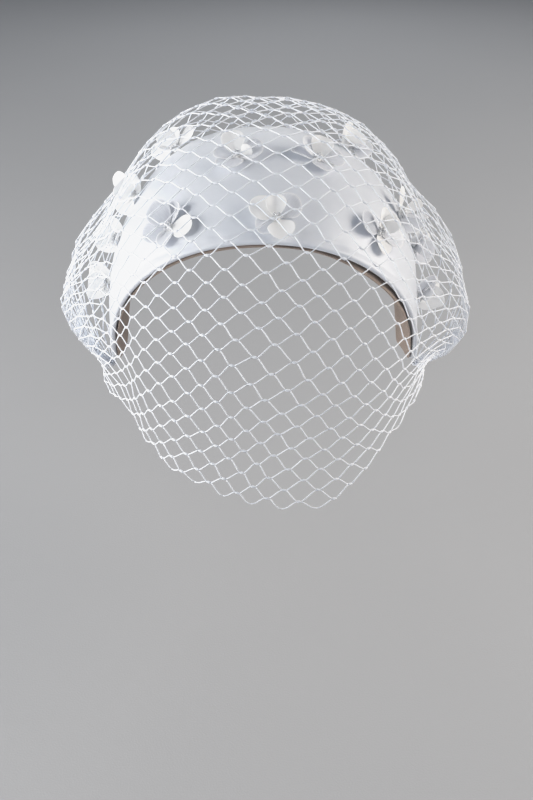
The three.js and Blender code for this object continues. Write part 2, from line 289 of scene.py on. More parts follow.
def satin_material():
    made, tree, shader = material("satin_cloth", roughness=0.32, sheen_weight=0.2, sheen_roughness=0.4,
                                  specular_ior_level=0.65, anisotropic=0.35)
    cloth = attribute(tree, "cloth")
    streak = noise(tree, stretched(tree, cloth, (0.035, 1.3, 1)), 1.0, 4, 0.6)
    slub = noise(tree, stretched(tree, cloth, (0.02, 0.12, 1)), 1.0, 2)
    patch = noise(tree, cloth, 0.02, 3)
    tone = add(tree, times(tree, patch, 0.5), times(tree, slub, 0.3))
    tone = add(tree, tone, times(tree, streak, 0.2))
    # Partly painted reflection: the satin's colour is greyer and bluer than white satin, standing in for the
    # dim, cool room seen in its sheen, and the lamps are stronger to make up for it. The noise in it is the
    # cloth's own random streaks, slubs and patches.
    blend_colour(tree, shader, tone, (0.70, 0.73, 0.79), (0.81, 0.83, 0.86))
    tree.links.new(span_to(tree, slub, 0.28, 0.42), shader.inputs["Roughness"])
    bump(tree, shader, add(tree, streak, times(tree, slub, 2.0)), 0.00006)
    return made


def lining_and_shade_material():
    made, tree, shader = material("lining_cloth", roughness=0.75, sheen_weight=0.15, sheen_roughness=0.5)
    cloth = attribute(tree, "cloth")
    slub = noise(tree, stretched(tree, cloth, (0.25, 2.2, 1)), 1.0, 4, 0.6)
    patch = noise(tree, cloth, 0.05, 3)
    # Partly painted shade: the lining's beige is darkened to the brown it shows in the shaded gap inside a
    # worn hat. The noise is its own random slubs and patches.
    blend_colour(tree, shader, average(tree, slub, patch), (0.29, 0.22, 0.18), (0.43, 0.345, 0.29))
    bump(tree, shader, add(tree, weave(tree, cloth, 0.8), slub), 0.00009)
    return made


def scatter(shader, depth):
    """Light goes this far into the cloth or thread, in metres, the same for every colour."""
    shader.inputs["Subsurface Radius"].default_value = (1.0, 1.0, 1.0)
    shader.inputs["Subsurface Scale"].default_value = depth


def thread_material():
    """Twisted thread: along the strand its colour darkens a little with painted shade between its plies, from
    the same noise that gives their bump.
    """
    made, tree, shader = material("net_thread", roughness=0.5, sheen_weight=0.1, sheen_roughness=0.3,
                                  subsurface_weight=0.4)
    scatter(shader, 0.0005)
    place = object_place(tree)
    ply_bump_and_shade = noise(tree, place, 1400.0, 2)
    patch = noise(tree, place, 60.0, 2)
    blend_colour(tree, shader, average(tree, ply_bump_and_shade, patch), (0.81, 0.845, 0.93), (0.93, 0.955, 1.0))
    bump(tree, shader, ply_bump_and_shade, 0.00006)
    return made


def petal_material(name, low, high, roughness, alpha=None):
    """Petal cloth: rim is 1 at a petal's edge, where the cut is sealed and the cloth is denser. alpha is
    how much of the light sheer cloth stops inside and at the rim."""
    made, tree, shader = material(name, roughness=roughness, sheen_weight=0.15, sheen_roughness=0.35,
                                  specular_ior_level=0.4, subsurface_weight=0.5)
    scatter(shader, 0.0012)
    petal = attribute(tree, "petal")
    rim = attribute(tree, "rim", "Fac")
    vein = noise(tree, stretched(tree, petal, (0.25, 1.6, 1)), 1.0, 3)
    grain = noise(tree, petal, 3.0, 2)
    tone = add(tree, times(tree, vein, 0.35), times(tree, rim, 0.65))
    blend_colour(tree, shader, tone, low, high)
    if alpha:
        shown = add(tree, span_to(tree, rim, *alpha), span_to(tree, vein, -0.06, 0.06))
        tree.links.new(shown, shader.inputs["Alpha"])
    height = add(tree, vein, times(tree, weave(tree, petal, 0.45), 0.5))
    bump(tree, shader, add(tree, height, grain), 0.000012)
    return made


def crystal_material():
    made, tree, shader = material("crystal_glass", roughness=0.04, ior=1.58, transmission_weight=0.45,
                                  specular_ior_level=0.8, coat_weight=0.5)
    tint = noise(tree, object_place(tree), 500.0, 2)
    blend_colour(tree, shader, tint, (0.90, 0.92, 0.95), (1.0, 1.0, 1.0))
    tree.links.new(span_to(tree, tint, 0.02, 0.1), shader.inputs["Roughness"])
    return made


def floor_material():
    made, tree, shader = material("floor_paper", roughness=0.85)
    place = object_place(tree)
    blend_colour(tree, shader, noise(tree, place, 3.0, 4), (0.42, 0.425, 0.435), (0.46, 0.465, 0.475))
    bump(tree, shader, noise(tree, place, 900.0, 2), 0.0001)
    return made


# ---- camera, light and floor, in metres ----

CAMERA_PLACE = (0.0014, -0.548, 0.2207)
CAMERA_TILT = 55.5  # degrees up from straight down
SKY_COLOUR, SKY_STRENGTH = (0.70, 0.82, 1.0), 0.15
LIT_PLACE = (0, 0, -0.05)
# Each lamp: name, place, width, power, colour
LAMPS = [
    ("key", (-1.34, -0.30, 0.16), 1.3, 34, (1.0, 0.985, 0.965)),
    ("warm_side", (1.20, 0.0, 0.42), 1.2, 19, (1.0, 0.93, 0.85)),
    ("front", (0.25, -1.3, 0.5), 1.0, 1.4, (0.75, 0.85, 1.0)),
    ("back", (0.1, 1.3, 0.4), 1.0, 2, (0.95, 0.97, 1.0)),
]
FLOOR_LEVEL, FLOOR_HALF = -0.30, 4.0
WHITE = 4.0  # light that is shown as full white
# Light and what it is shown as, so that satin that faces a lamp keeps its shading
SHOULDER = [(0.35, 0.35), (0.8, 0.8), (0.92, 0.89), (1.15, 0.935), (1.7, 0.96), (2.6, 0.98)]


def add_camera():
    data = bpy.data.cameras.new("camera")
    data.lens, data.sensor_width, data.clip_start = 50, 36, 0.01
    camera = bpy.data.objects.new("camera", data)
    camera.location = CAMERA_PLACE
    camera.rotation_euler = (math.radians(CAMERA_TILT), 0, 0)
    bpy.context.scene.collection.objects.link(camera)
    bpy.context.scene.camera = camera


def add_lamp(name, place, size, power, colour):
    data = bpy.data.lights.new(name, "AREA")
    data.shape, data.size, data.energy, data.color = "DISK", size, power, colour
    lamp = bpy.data.objects.new(name, data)
    lamp.location = place
    way = np.array(LIT_PLACE) - np.array(place)
    lamp.rotation_euler = (math.atan2(math.hypot(way[0], way[1]), -way[2]), 0, math.atan2(-way[0], way[1]))
    bpy.context.scene.collection.objects.link(lamp)


def add_sky():
    world = bpy.data.worlds.new("soft_light")
    bpy.context.scene.world = world
    world.use_nodes = True
    sky = world.node_tree.nodes["Background"]
    sky.inputs["Color"].default_value = (*SKY_COLOUR, 1)
    sky.inputs["Strength"].default_value = SKY_STRENGTH


def add_floor():
    corners = np.array([(-1, -1), (1, -1), (1, 1), (-1, 1)]) * FLOOR_HALF / MM
    floor = add_mesh("floor", stack(corners[:, 0], corners[:, 1], FLOOR_LEVEL / MM), [[0, 1, 2, 3]],
                     [floor_material()], smooth=False)


def soften_highlights():
    view = bpy.context.scene.view_settings
    view.view_transform = "Standard"
    view.use_curve_mapping = True
    view.curve_mapping.white_level = (WHITE, WHITE, WHITE)
    all_colours = view.curve_mapping.curves[3]
    for light, shown in SHOULDER:
        all_colours.points.new(light / WHITE, shown)
    view.curve_mapping.update()


# ---- satin cover and lining ----

SATIN_GRID = (220, 84)  # stations from end to end, and spans from back to front
LINING_GRID = (160, 60)
RIM_STEPS = 6
END_STEPS = 4
END_CLOSE = 0.08  # share of the wall that is left at the last loop of an end
RIM_CROWDING = 0.35  # share of the sine spacing that crowds the spans at both rims
RELIEF_INSIDE = 0.15  # share of the satin's relief that also shows inside
RELIEF_ENDS = (4, 12)  # stations from an end in which the relief comes in

SOFT_WAVES = [(0.28, 11, 60), (0.10, 12, 22)]  # height, seed and length
HEM, HEM_STRAY = 5.2, 0.5  # from a rim to the line where the satin's turned edge is caught down
FRONT_HEM, BACK_HEM = (0.45, 0.8), (0.22, 1.0)  # depth and width of that line
PUCKER_DEPTH, PUCKER_AT, PUCKER_WIDTH = 0.13, 3.0, 4.5
SEWN_DEPTH, SEWN_WIDTH = 0.35, 4.0  # of the dent where a flower is sewn on
FLAT_RIM = 2.5  # at a rim, in which the relief comes in
RIDGE_AT, RIDGE_SHARE = 1.1, 0.5  # the satin rises beside a crease, in its widths and its depth
# Creases of the stretched satin: across, fore-aft, length, width, lean, depth
CREASES = [
    (34, 17, 12, 1.6, 20, 0.30), (39, 12, 10, 1.4, 28, 0.26), (31, 9, 14, 1.8, 12, 0.22),
    (43, 19, 9, 1.5, 35, 0.24), (48, 10, 12, 1.8, 40, 0.25), (28, 24, 10, 1.6, 8, 0.20),
    (-20, 6, 30, 5, -10, 0.30), (-40, 14, 26, 5, -30, 0.14), (8, 20, 34, 6, 6, 0.30),
    (60, 8, 22, 4, 50, 0.30), (-64, 2, 24, 4, -60, 0.26), (-6, -16, 36, 6, -5, 0.30),
    (24, -14, 30, 5, 18, 0.28), (78, 4, 16, 3, 70, 0.25),
]

# Painted shade: the lining's reach past the front rim, its lift and its sag at the ends put its darkened
# cloth where a worn hat shows only a band of shade between rim and head.
LINING_SHOWS = 1.5  # how far the lining reaches past the front rim
LINING_LIFT = 1.2  # of its front edge towards the shell's rolled rim
MORE_SHOWS = 2.4  # how much further it reaches between these degrees at the right shoulder
MORE_FROM, MORE_TO = (15, 50), (75, 98)
RIGHT_SAG, LEFT_SAG = 4.0, 1.5  # how far its cloth hangs away from the shell's ends
RIGHT_SAG_FROM, LEFT_SAG_FROM = (45, 85), (55, 90)
SAG_BEHIND = (2, 22)  # millimetres from the front edge in which the sag comes in
LINING_WAVES = (0.12, 21, 25)  # height, seed and length


def crease_relief(points, across, fore_aft, length, width, lean, depth):
    """Height of one crease and the ridge beside it at each grid point."""
    off = points - form_point(np.array(float(across)), np.array(float(fore_aft)))
    a = math.radians(across)
    side = np.array([math.cos(a), 0, -math.sin(a)])
    u, w = off @ side, -off[..., 1]
    c, s = math.cos(math.radians(lean)), math.sin(math.radians(lean))
    along, over = (u * c + w * s) / (length / 2), (w * c - u * s) / width
    return depth * (bell(over - RIDGE_AT, 1) * RIDGE_SHARE - bell(over, 1)) * bell(along, 1)


def satin_relief(points, to_front, to_back):
    """Height of the satin's soft relief over the shell at each grid point."""
    rim = np.minimum(to_front, to_back)
    relief = sum(height * waves(points, seed, length) for height, seed, length in SOFT_WAVES)
    hem = HEM + HEM_STRAY * waves(points, 13, 30)
    relief -= FRONT_HEM[0] * bell(to_front - hem, FRONT_HEM[1])
    relief -= BACK_HEM[0] * bell(to_back - hem, BACK_HEM[1])
    pucker = waves(points * [1, 0.35, 1], 14, 7.0, 9)
    relief += PUCKER_DEPTH * pucker * bell(rim - PUCKER_AT, PUCKER_WIDTH)
    for crease in CREASES:
        relief += crease_relief(points, *crease)
    for name in PETALS:
        foot = flower_frame(name)[0]
        relief -= SEWN_DEPTH * bell(np.linalg.norm(points - foot, axis=-1), SEWN_WIDTH)
    return relief * smoothstep(rim, 0.0, FLAT_RIM)


def band_stations(wall, margin, stations):
    """Across angles of a band's loops, and the share of its wall there. Both ends go round from the outer
    to the inner face in a few more loops."""
    swing = np.linspace(-END_ROUND, END_ROUND, stations + 1)
    across = END_ANGLE * (1 - margin / END_REACH) * np.sin(np.radians(swing))
    quarter = np.linspace(0, 90, END_STEPS + 1)[1:]
    extra = np.degrees(wall / 2 / HALF_LENGTH) * np.sin(np.radians(quarter))
    fall = np.maximum(np.cos(np.radians(quarter)), END_CLOSE)
    across = np.concatenate([across[0] - extra[::-1], across, across[-1] + extra])
    return across, np.concatenate([fall[::-1], np.ones(stations + 1), fall])


def shell_band(outer, wall, margin, grid, shows, lip, relief):
    """Points, faces and cloth coordinates of a band of even wall with round rims and ends. shows tells
    how far it reaches past the shell's front rim, and lip how far it stands off its place."""
    stations, spans = grid
    across, fullness = band_stations(wall, margin, stations)
    thick = wall / 2 * fullness
    close = 1 - 0.5 * (1 - fullness)
    back = np.maximum(half_span(across) - np.degrees(margin / HALF_LENGTH), TIP_SPAN) * close
    front = np.maximum(half_span(across) + np.degrees(shows(across) / HALF_LENGTH), TIP_SPAN) * close
    reach, middle = (front + back) / 2, band_centre(across) + (front - back) / 2
    crowded = np.sin(np.radians(np.linspace(-90, 90, spans + 1)))
    share = crowded * RIM_CROWDING + np.linspace(-1, 1, spans + 1) * (1 - RIM_CROWDING)
    fore_aft = middle[:, None] + reach[:, None] * share
    wide = np.broadcast_to(across[:, None], fore_aft.shape)
    place = form_point(wide, fore_aft)
    normal = form_normal(place)
    steps = np.linalg.norm(np.diff(place, axis=1), axis=-1)
    to_back = np.concatenate([np.zeros((len(across), 1)), np.cumsum(steps, axis=1)], axis=1)
    to_front = to_back[:, -1:] - to_back
    ends = np.minimum(np.arange(len(across)), np.arange(len(across))[::-1])[:, None]
    rise = relief(place, to_front, to_back) * smoothstep(ends, *RELIEF_ENDS)
    mid = (outer - wall / 2) + lip(wide, to_front)
    top = place + normal * (mid + thick[:, None] + rise)[..., None]
    low = place + normal * (mid - thick[:, None] + RELIEF_INSIDE * rise)[..., None]
    cloth = stack(np.radians(wide) * HALF_LENGTH, to_back - to_back[:, -1:] / 2, 0 * wide)

    def rim(k, way):
        """Half circle from the outer to the inner face at a rim."""
        ahead = unit(place[:, k] - place[:, k - way])
        angle = np.radians(np.linspace(0, 180, RIM_STEPS + 2)[1:-1])
        out = np.sin(angle)[None, :, None] * thick[:, None, None] * ahead[:, None]
        height = (mid[:, k, None] + thick[:, None] * np.cos(angle))[..., None] * normal[:, k, None]
        return place[:, k, None] + out + height

    front, back = rim(spans, 1), rim(0, -1)
    loops = np.concatenate([top, front, low[:, ::-1], back[:, ::-1]], axis=1)
    front_cloth, back_cloth = (np.repeat(cloth[:, k], RIM_STEPS, axis=1) for k in ([-1], [0]))
    cloth = np.concatenate([cloth, front_cloth, cloth[:, ::-1], back_cloth], axis=1)
    rows, size = loops.shape[:2]
    faces = ring_faces(0, rows, size).tolist()
    faces.append(list(range(size))[::-1])
    faces.append([(rows - 1) * size + k for k in range(size)])
    return loops.reshape(-1, 3), faces, cloth.reshape(-1, 3)


def add_cover():
    def shows(across):
        return 0 * across

    def lip(across, to_front):
        return LIP_RISE * (1 - smoothstep(to_front, 0, LIP_WIDTH))

    points, faces, cloth = shell_band(0, SHELL_WALL, 0, SATIN_GRID, shows, lip, satin_relief)
    piece = add_mesh("satin_cover", points, faces, [satin_material()], values={"cloth": cloth})
    declare(piece, "crown")


def add_lining():
    # It reaches past the front rim and hangs in from the ends so that its darkened cloth shows as a painted
    # shade band.
    def shows(across):
        return LINING_SHOWS + MORE_SHOWS * smoothstep(across, *MORE_FROM) * (1 - smoothstep(across, *MORE_TO))

    def lip(across, to_front):
        sag = RIGHT_SAG * smoothstep(across, *RIGHT_SAG_FROM) + LEFT_SAG * smoothstep(-across, *LEFT_SAG_FROM)
        lift = LINING_LIFT * (1 - smoothstep(to_front, 0, LIP_WIDTH))
        return lift - sag * smoothstep(to_front, *SAG_BEHIND)

    def relief(points, to_front, to_back):
        height, seed, length = LINING_WAVES
        return height * waves(points, seed, length)

    outer = -(SHELL_WALL + LINING_GAP)
    points, faces, cloth = shell_band(outer, LINING_WALL, LINING_MARGIN, LINING_GRID, shows, lip, relief)
    piece = add_mesh("lining_cloth", points, faces, [lining_and_shade_material()], values={"cloth": cloth})
    declare(piece, "lining")


# ---- netting: its form ----

NET_WALL = 1.6  # of the solid that it replaces, near whose middle it lies
NET_SEAM = 1.8  # clearance to the back rim at the gathered edge
BROW_FROM = 20.0  # degrees of swing at which the stand-off starts to go from its top to its front value
NET_RISE = 0.16  # share of the length in which the net leaves the back rim
FAN_OUT = 0.3  # share of the length in which its columns spread from the rim
PINCH = np.array([-0.5, -1.0, -7.0])  # from the gather's middle to where it is sewn, mirrored at the left
PINCH_FROM = 70.0  # degrees from the middle at which the net starts to run to that place
# The net's form by degrees from the middle towards an ear (under 0 at the left): how far it stands off the
# head on top and in front, its last row and its free edge in degrees ahead of upright, and where its front
# stand-off is reached
TURN, TOP, FRONT, LAST_ROW, FREE_EDGE, BROW_TO = range(6)
NET_FORM = np.array([
    (-90, 0, 0, 92, 98, 70),
    (-86, 9, 2, 92, 98, 70),
    (-80, 16, 3, 91, 96, 70),
    (-70, 23.5, 3, 90, 90, 72),
    (-62, 21.5, 2.5, 89, 87, 75),
    (-52, 13, 3, 89, 83.5, 80),
    (-42, 9, 4.5, 90.5, 83.5, 85),
    (-30, 11.5, 9, 93.5, 91, 90),
    (-15, 14, 13, 97.5, 98, 90),
    (0, 14.5, 14, 101, 101.8, 90),
    (15, 14, 13.5, 103.5, 102.6, 90),
    (30, 12.5, 10, 106, 98, 90),
    (44, 11, 5, 108, 94, 84),
    (57, 19.5, 2.5, 104.5, 92, 78),
    (70, 26, 3, 98, 93, 76),
    (80, 25, 3, 94, 96, 76),
    (86, 15, 2, 93, 98, 76),
    (90, 0, 0, 92, 98, 76),
], float)
SEAT = form_point(np.array(END_ANGLE - 1), np.array(END_LEAN))
EAR_LINE = np.array([0, SEAT[1], SEAT[2]])


def form_curve(turn, column):
    """Smooth curve through one column of the net's form."""
    at, value = NET_FORM[:, TURN], NET_FORM[:, column]
    last = len(at) - 1
    turn = np.clip(turn, at[0], at[last])
    k = np.clip(np.searchsorted(at, turn, side="right"), 1, last)
    before, after = np.maximum(k - 2, 0), np.minimum(k + 1, last)
    slope_a = (value[k] - value[before]) / (at[k] - at[before])
    slope_b = (value[after] - value[k - 1]) / (at[after] - at[k - 1])
    step = at[k] - at[k - 1]
    s = (turn - at[k - 1]) / step
    return (value[k - 1] * (2 * s ** 3 - 3 * s ** 2 + 1) + slope_a * step * (s ** 3 - 2 * s ** 2 + s)
            + value[k] * (3 * s ** 2 - 2 * s ** 3) + slope_b * step * (s ** 3 - s ** 2))


def form_distance(along):
    """Distance from the line between the ears to the head's form along each direction, by halving."""
    near, far = np.zeros(along.shape[:-1]), np.full(along.shape[:-1], 2 * HALF_LENGTH)
    for _ in range(32):
        middle = (near + far) / 2
        inside = form_level(EAR_LINE + along * middle[..., None] - CENTRE) < 1
        near, far = np.where(inside, middle, near), np.where(inside, far, middle)
    return near


def net_bearing(turn, v):
    """Degrees towards an ear and ahead of upright, from the line between the ears."""
    across = (END_ANGLE - 1) * turn / 90
    rim = form_point(across, band_centre(across) - half_span(across)) - EAR_LINE
    rim_turn = np.degrees(np.arcsin(rim[..., 0] / np.linalg.norm(rim, axis=-1)))
    rim_swing = np.degrees(np.arctan2(-rim[..., 1], rim[..., 2]))
    return (rim_turn + (turn - rim_turn) * smoothstep(v, 0, FAN_OUT),
            rim_swing + (form_curve(turn, LAST_ROW) - rim_swing) * v)


def net_point(turn, v):
    """Middle of the net at a turn towards an ear and v, from the back rim (0) to its last row (1)."""
    turn, v = np.broadcast_arrays(np.asarray(turn, float), np.asarray(v, float))
    bearing, swing = net_bearing(turn, v)
    b, s = np.radians(bearing), np.radians(swing)
    along = stack(np.sin(b), -np.cos(b) * np.sin(s), np.cos(b) * np.cos(s))
    top, front = form_curve(turn, TOP), form_curve(turn, FRONT)
    puff = top + (front - top) * smoothstep(swing, BROW_FROM, form_curve(turn, BROW_TO))
    off = NET_SEAM + puff * smoothstep(v, 0, NET_RISE)
    point = EAR_LINE + along * (form_distance(along) + off + NET_WALL / 2)[..., None]
    pull = smoothstep(np.abs(turn), PINCH_FROM, 90)[..., None]
    return point + pull * PINCH * stack(np.sign(turn), 1, 1)


# ---- netting: its lattice ----

NET_ROWS = 48  # half cells from the back rim to the last row
KNOT_BAR = 2.7  # length of a knot along its row
KNOT_RADIUS = 0.72
KNOT_PROFILE = np.array([0.58, 0.82, 0.96, 1.0, 0.96, 0.82, 0.58])  # its radius along its length
KNOT_FLAT = 0.85  # its thickness off the net over its width
KNOT_TILT = 0.05  # how much the knots' bars stray from their row
KNOT_SIDES, STRAND_SIDES = 6, 5
STRAND_STEPS, LOOP_STEPS, STITCH_STEPS = 5, 7, 9  # points along a strand, half an edge loop and a stitch
STRAND = 8.5  # between two knots' ends
STRAND_RADIUS = 0.32
STRAND_ROOT = 0.8  # share of a knot's half length at which a strand leaves it
STRAND_BEND, STRAND_LEAD = 0.45, 0.2  # how much and how long a strand runs on along its knot
LOOP_BEND, LOOP_LEAD, LOOP_LEVEL = 0.9, 0.28, 0.38  # the same for an edge loop, and its level stretch
LOOP_RAISE = 1.8  # of an edge loop's lowest point above the place of the knot that isn't there
LAST_TURN = 86.0  # degrees from the middle to the last column
LEAST_REACH = 3.0  # of a strand along its row
SIDE_STRETCH = 0.5  # how much wider the cells are pulled at the sides than in front
SIDE_FROM = (40, 80)  # degrees from the middle between which that comes in
NET_LEAN = -16.0  # degrees by which the columns lean over the net's length, in the middle
LEAN_STILL = 0.4  # share of the length at which they don't move
NET_PHASE = -0.25  # half cells by which the lattice sits off the middle
SPACING_TURNS = np.array([0.0, 12, 24])  # where the rows' spacing is worked out
LENGTH_STEPS, TURN_STEPS = 400, 352  # steps along the net and towards an ear in which it is worked out
SEAM_ROWS = 6  # rows near the back rim that the columns' spacing leaves out
STRAY_WAVE = 70  # length of the long waves in which the knots stray
# How far the knots stray along their row, down and outward: in long waves, and each by itself
STRAY = [(0.9, 0.30), (0.8, 0.28), (0.5, 0.35)]
SEAM_HOLDS, EAR_HOLDS = (0.02, 0.12), (2, 25)  # share of the length, and degrees, in which that comes in

STITCH_RADIUS = 0.26
STITCH_REACH, STITCH_BOW = 1.1, 1.3  # from a knot to each foot, and how far past its feet a stitch bows
STITCH_SINK, STITCH_RISE = 2.2, 1.5  # of its feet under the knot's middle, and of its bow over it
GATHER_RADIUS = STRAND_RADIUS * 1.1
GATHER_STEPS, GATHER_PACE = 7, 0.8  # steps of a strand that runs into a gather, and how they crowd
WINDING_LOOPS, WINDING_STEPS, WINDING_SWING = 10, 26, 375  # each loop overlaps its own start
WINDING_RADIUS, WINDING_THREAD = 1.9, STITCH_RADIUS * 1.2
WINDING_RISE = 1.0  # of its middle above the gather's tip


def net_schedule():
    """Shares of the net's length at its rows, and turns of its columns, for strands of even length."""
    v = np.linspace(0, 1, LENGTH_STEPS + 1)
    paths = net_point(SPACING_TURNS[:, None], v)
    length = np.cumsum(np.linalg.norm(np.diff(paths, axis=1), axis=-1).mean(0))
    length = np.concatenate([[0], length])
    rows = np.interp(np.linspace(0, length[-1], NET_ROWS + 1), length, v)
    turns = np.linspace(0, LAST_TURN, TURN_STEPS + 1)
    grid = net_point(turns[:, None], rows[SEAM_ROWS:])
    high = np.linalg.norm(np.diff(grid, axis=1), axis=-1).mean(1)
    wide = np.linalg.norm(np.diff(grid, axis=0), axis=-1).mean(1)
    reach = KNOT_BAR + np.sqrt(np.maximum(STRAND ** 2 - high ** 2, LEAST_REACH ** 2))
    reach *= 1 + SIDE_STRETCH * smoothstep(turns, *SIDE_FROM)
    columns = np.concatenate([[0], np.cumsum(wide / (reach[1:] + reach[:-1]) * 2)])
    last = int(columns[-1])
    at = np.arange(-last, last + 1) + NET_PHASE
    return rows, np.sign(at) * np.interp(np.abs(at) * columns[-1] / last, columns, turns)


def kept_knots(i, j, turn, v):
    """Which places hold a knot. The cloth is cut along its knots at the free edge, and a knot left on
    fewer than two strands goes."""
    kept = ((i + j) % 2 == 0) & (j < NET_ROWS) & (net_bearing(turn, v)[1] <= form_curve(turn, FREE_EDGE))
    for _ in range(3):
        wide = np.pad(kept, 1).astype(int)
        near = wide[:-2, :-2] + wide[:-2, 2:] + wide[2:, :-2] + wide[2:, 2:]
        kept &= near >= np.where((np.abs(i) == i.max()) | (j == 0), 1, 2)
    return kept


def net_lattice():
    """The net's grid of places by column i and row j: the knots that are kept, their middles, the ways
    along their row, down and outward, and the way of each knot's bar."""
    rows, turns = net_schedule()
    last = len(turns) // 2
    i, j = np.meshgrid(np.arange(-last, last + 1), np.arange(NET_ROWS + 1), indexing="ij")
    turn, v = turns[i + last], rows[j]
    turn = turn + NET_LEAN * (v - LEAN_STILL) * np.cos(np.radians(turn)) ** 2
    knot = net_point(turn, v)
    along = unit(net_point(turn + 0.5, v) - net_point(turn - 0.5, v))
    down = net_point(turn, np.minimum(v + 0.01, 1)) - net_point(turn, np.maximum(v - 0.01, 0))
    normal = unit(np.cross(down, along))
    down = unit(np.cross(along, normal))
    free = smoothstep(v, *SEAM_HOLDS) * smoothstep(90 - np.abs(turn), *EAR_HOLDS)
    drift = [waves(knot, seed, STRAY_WAVE) for seed in (31, 32, 33)]
    jitter = np.random.default_rng(34).normal(size=(3, *knot.shape[:2]))
    for way, (slow, quick), wave, shake in zip((along, down, normal), STRAY, drift, jitter):
        knot = knot + way * ((slow * wave + quick * shake) * free)[..., None]
    kept = kept_knots(i, j, turn, v)
    tilt = np.random.default_rng(35).normal(size=kept.sum()) * KNOT_TILT
    bar = np.zeros_like(knot)
    bar[kept] = unit(along[kept] + down[kept] * tilt[:, None])
    return SimpleNamespace(i=i, j=j, last=last, kept=kept, knot=knot, along=along, down=down, normal=normal,
                           bar=bar)


def knot_tubes(net):
    t = np.linspace(-1, 1, len(KNOT_PROFILE))
    paths = net.knot[net.kept][:, None] + net.bar[net.kept][:, None] * (t * KNOT_BAR / 2)[:, None]
    return tubes(paths, KNOT_RADIUS * KNOT_PROFILE, net.normal[net.kept][:, None], KNOT_SIDES, KNOT_FLAT)


def strand_end(net, at, side):
    """Where a strand leaves the knots at these columns and rows: at their right where side is 1."""
    return net.knot[at] + net.bar[at] * side * KNOT_BAR / 2 * STRAND_ROOT


def strand_way(net, at, side, gap, bend):
    """The way of a strand at a knot: partly along the knot, partly straight over the gap."""
    return unit(net.bar[at] * side * bend + unit(gap))


def strand_tubes(net, side):
    """Strands from each knot to the one of the next row on one side."""
    below = np.roll(net.kept, (-side, -1), (0, 1)) & (net.j < NET_ROWS) & (np.abs(net.i + side) <= net.last)
    high = np.where(net.kept & below)
    low = (high[0] + side, high[1] + 1)
    start, end = strand_end(net, high, side), strand_end(net, low, -side)
    gap = end - start
    size = np.linalg.norm(gap, axis=-1, keepdims=True)
    lead = strand_way(net, high, side, gap, STRAND_BEND) * size * STRAND_LEAD
    tail = strand_way(net, low, side, gap, STRAND_BEND) * size * STRAND_LEAD
    paths = bezier(start, start + lead, end - tail, end, STRAND_STEPS)
    return tubes(paths, STRAND_RADIUS, net.normal[high][:, None], STRAND_SIDES)


def edge_loop_tubes(net, side):
    """One half of the rounded loops along the free edge. A loop hangs under two knots of a row that have
    no knot between them below."""
    above = np.roll(net.kept, 1, 1)
    both = np.roll(above, 1, 0) & np.roll(above, -1, 0)
    tip = np.where(~net.kept & (net.j > 0) & (np.abs(net.i) < net.last) & both)
    bottom = net.knot[tip] - net.down[tip] * LOOP_RAISE
    hung = (tip[0] + side, tip[1] - 1)
    start = strand_end(net, hung, -side)
    gap = bottom - start
    size = np.linalg.norm(gap, axis=-1, keepdims=True)
    lead = strand_way(net, hung, -side, gap, LOOP_BEND) * size * LOOP_LEAD
    level = net.along[tip] * side * size * LOOP_LEVEL
    paths = bezier(start, start + lead, bottom + level, bottom, LOOP_STEPS)
    return tubes(paths, STRAND_RADIUS, net.normal[tip][:, None], STRAND_SIDES)


def stitch_tubes(net):
    """A stitch over each knot of the back row, down into the satin."""
    sewn = net.kept & (net.j == 0)
    place, down, up = net.knot[sewn], net.down[sewn] * STITCH_REACH, net.normal[sewn]
    sink, rise = up * STITCH_SINK, up * STITCH_RISE
    paths = bezier(place + down - sink, place + down * STITCH_BOW + rise,
                   place - down * STITCH_BOW + rise, place - down - sink, STITCH_STEPS)
    return tubes(paths, STITCH_RADIUS, net.along[sewn][:, None], STRAND_SIDES)


def gather_tubes(net, side):
    """The strands of the last column at one ear, which run together to where the gather is sewn."""
    edge = 2 * net.last if side > 0 else 0
    rows = np.where(net.kept[edge])[0]
    run = np.linspace(0, 1, GATHER_STEPS)
    turn = run ** GATHER_PACE * (90 - LAST_TURN) + LAST_TURN
    paths = net_point(side * turn, (rows / NET_ROWS)[:, None])
    paths += (net.knot[edge, rows] - paths[:, 0])[:, None] * np.linspace(1, 0, GATHER_STEPS)[:, None]
    paths += (gather_tip(side) - paths[:, -1])[:, None] * (run ** 2)[:, None]
    return tubes(paths, GATHER_RADIUS, net.normal[edge, rows][:, None], STRAND_SIDES)


def gather_tip(side):
    return net_point(side * 90.0, 0.5)


def winding_tubes(side):
    """Loops of sewing thread wound round the end of a gather."""
    axis = unit(np.random.default_rng(36).normal(size=(WINDING_LOOPS, 3)))
    first = unit(np.cross(axis, [0.3, 0.5, 0.8]))
    swing = np.radians(np.linspace(0, WINDING_SWING, WINDING_STEPS))[:, None]
    loops = np.cos(swing) * first[:, None] + np.sin(swing) * np.cross(axis, first)[:, None]
    middle = gather_tip(side) + np.array([0, 0, WINDING_RISE])
    return tubes(middle + loops * WINDING_RADIUS, WINDING_THREAD, axis[:, None], STRAND_SIDES)


def add_netting():
    net = net_lattice()
    parts = [knot_tubes(net)]
    parts += [strand_tubes(net, side) for side in (-1, 1)]
    parts += [edge_loop_tubes(net, side) for side in (-1, 1)]
    parts.append(stitch_tubes(net))
    for side in (-1, 1):
        parts += [gather_tubes(net, side), winding_tubes(side)]
    points, faces = merge(parts)
    piece = add_mesh("netting", points, faces, [thread_material()])
    declare(piece, "veil")
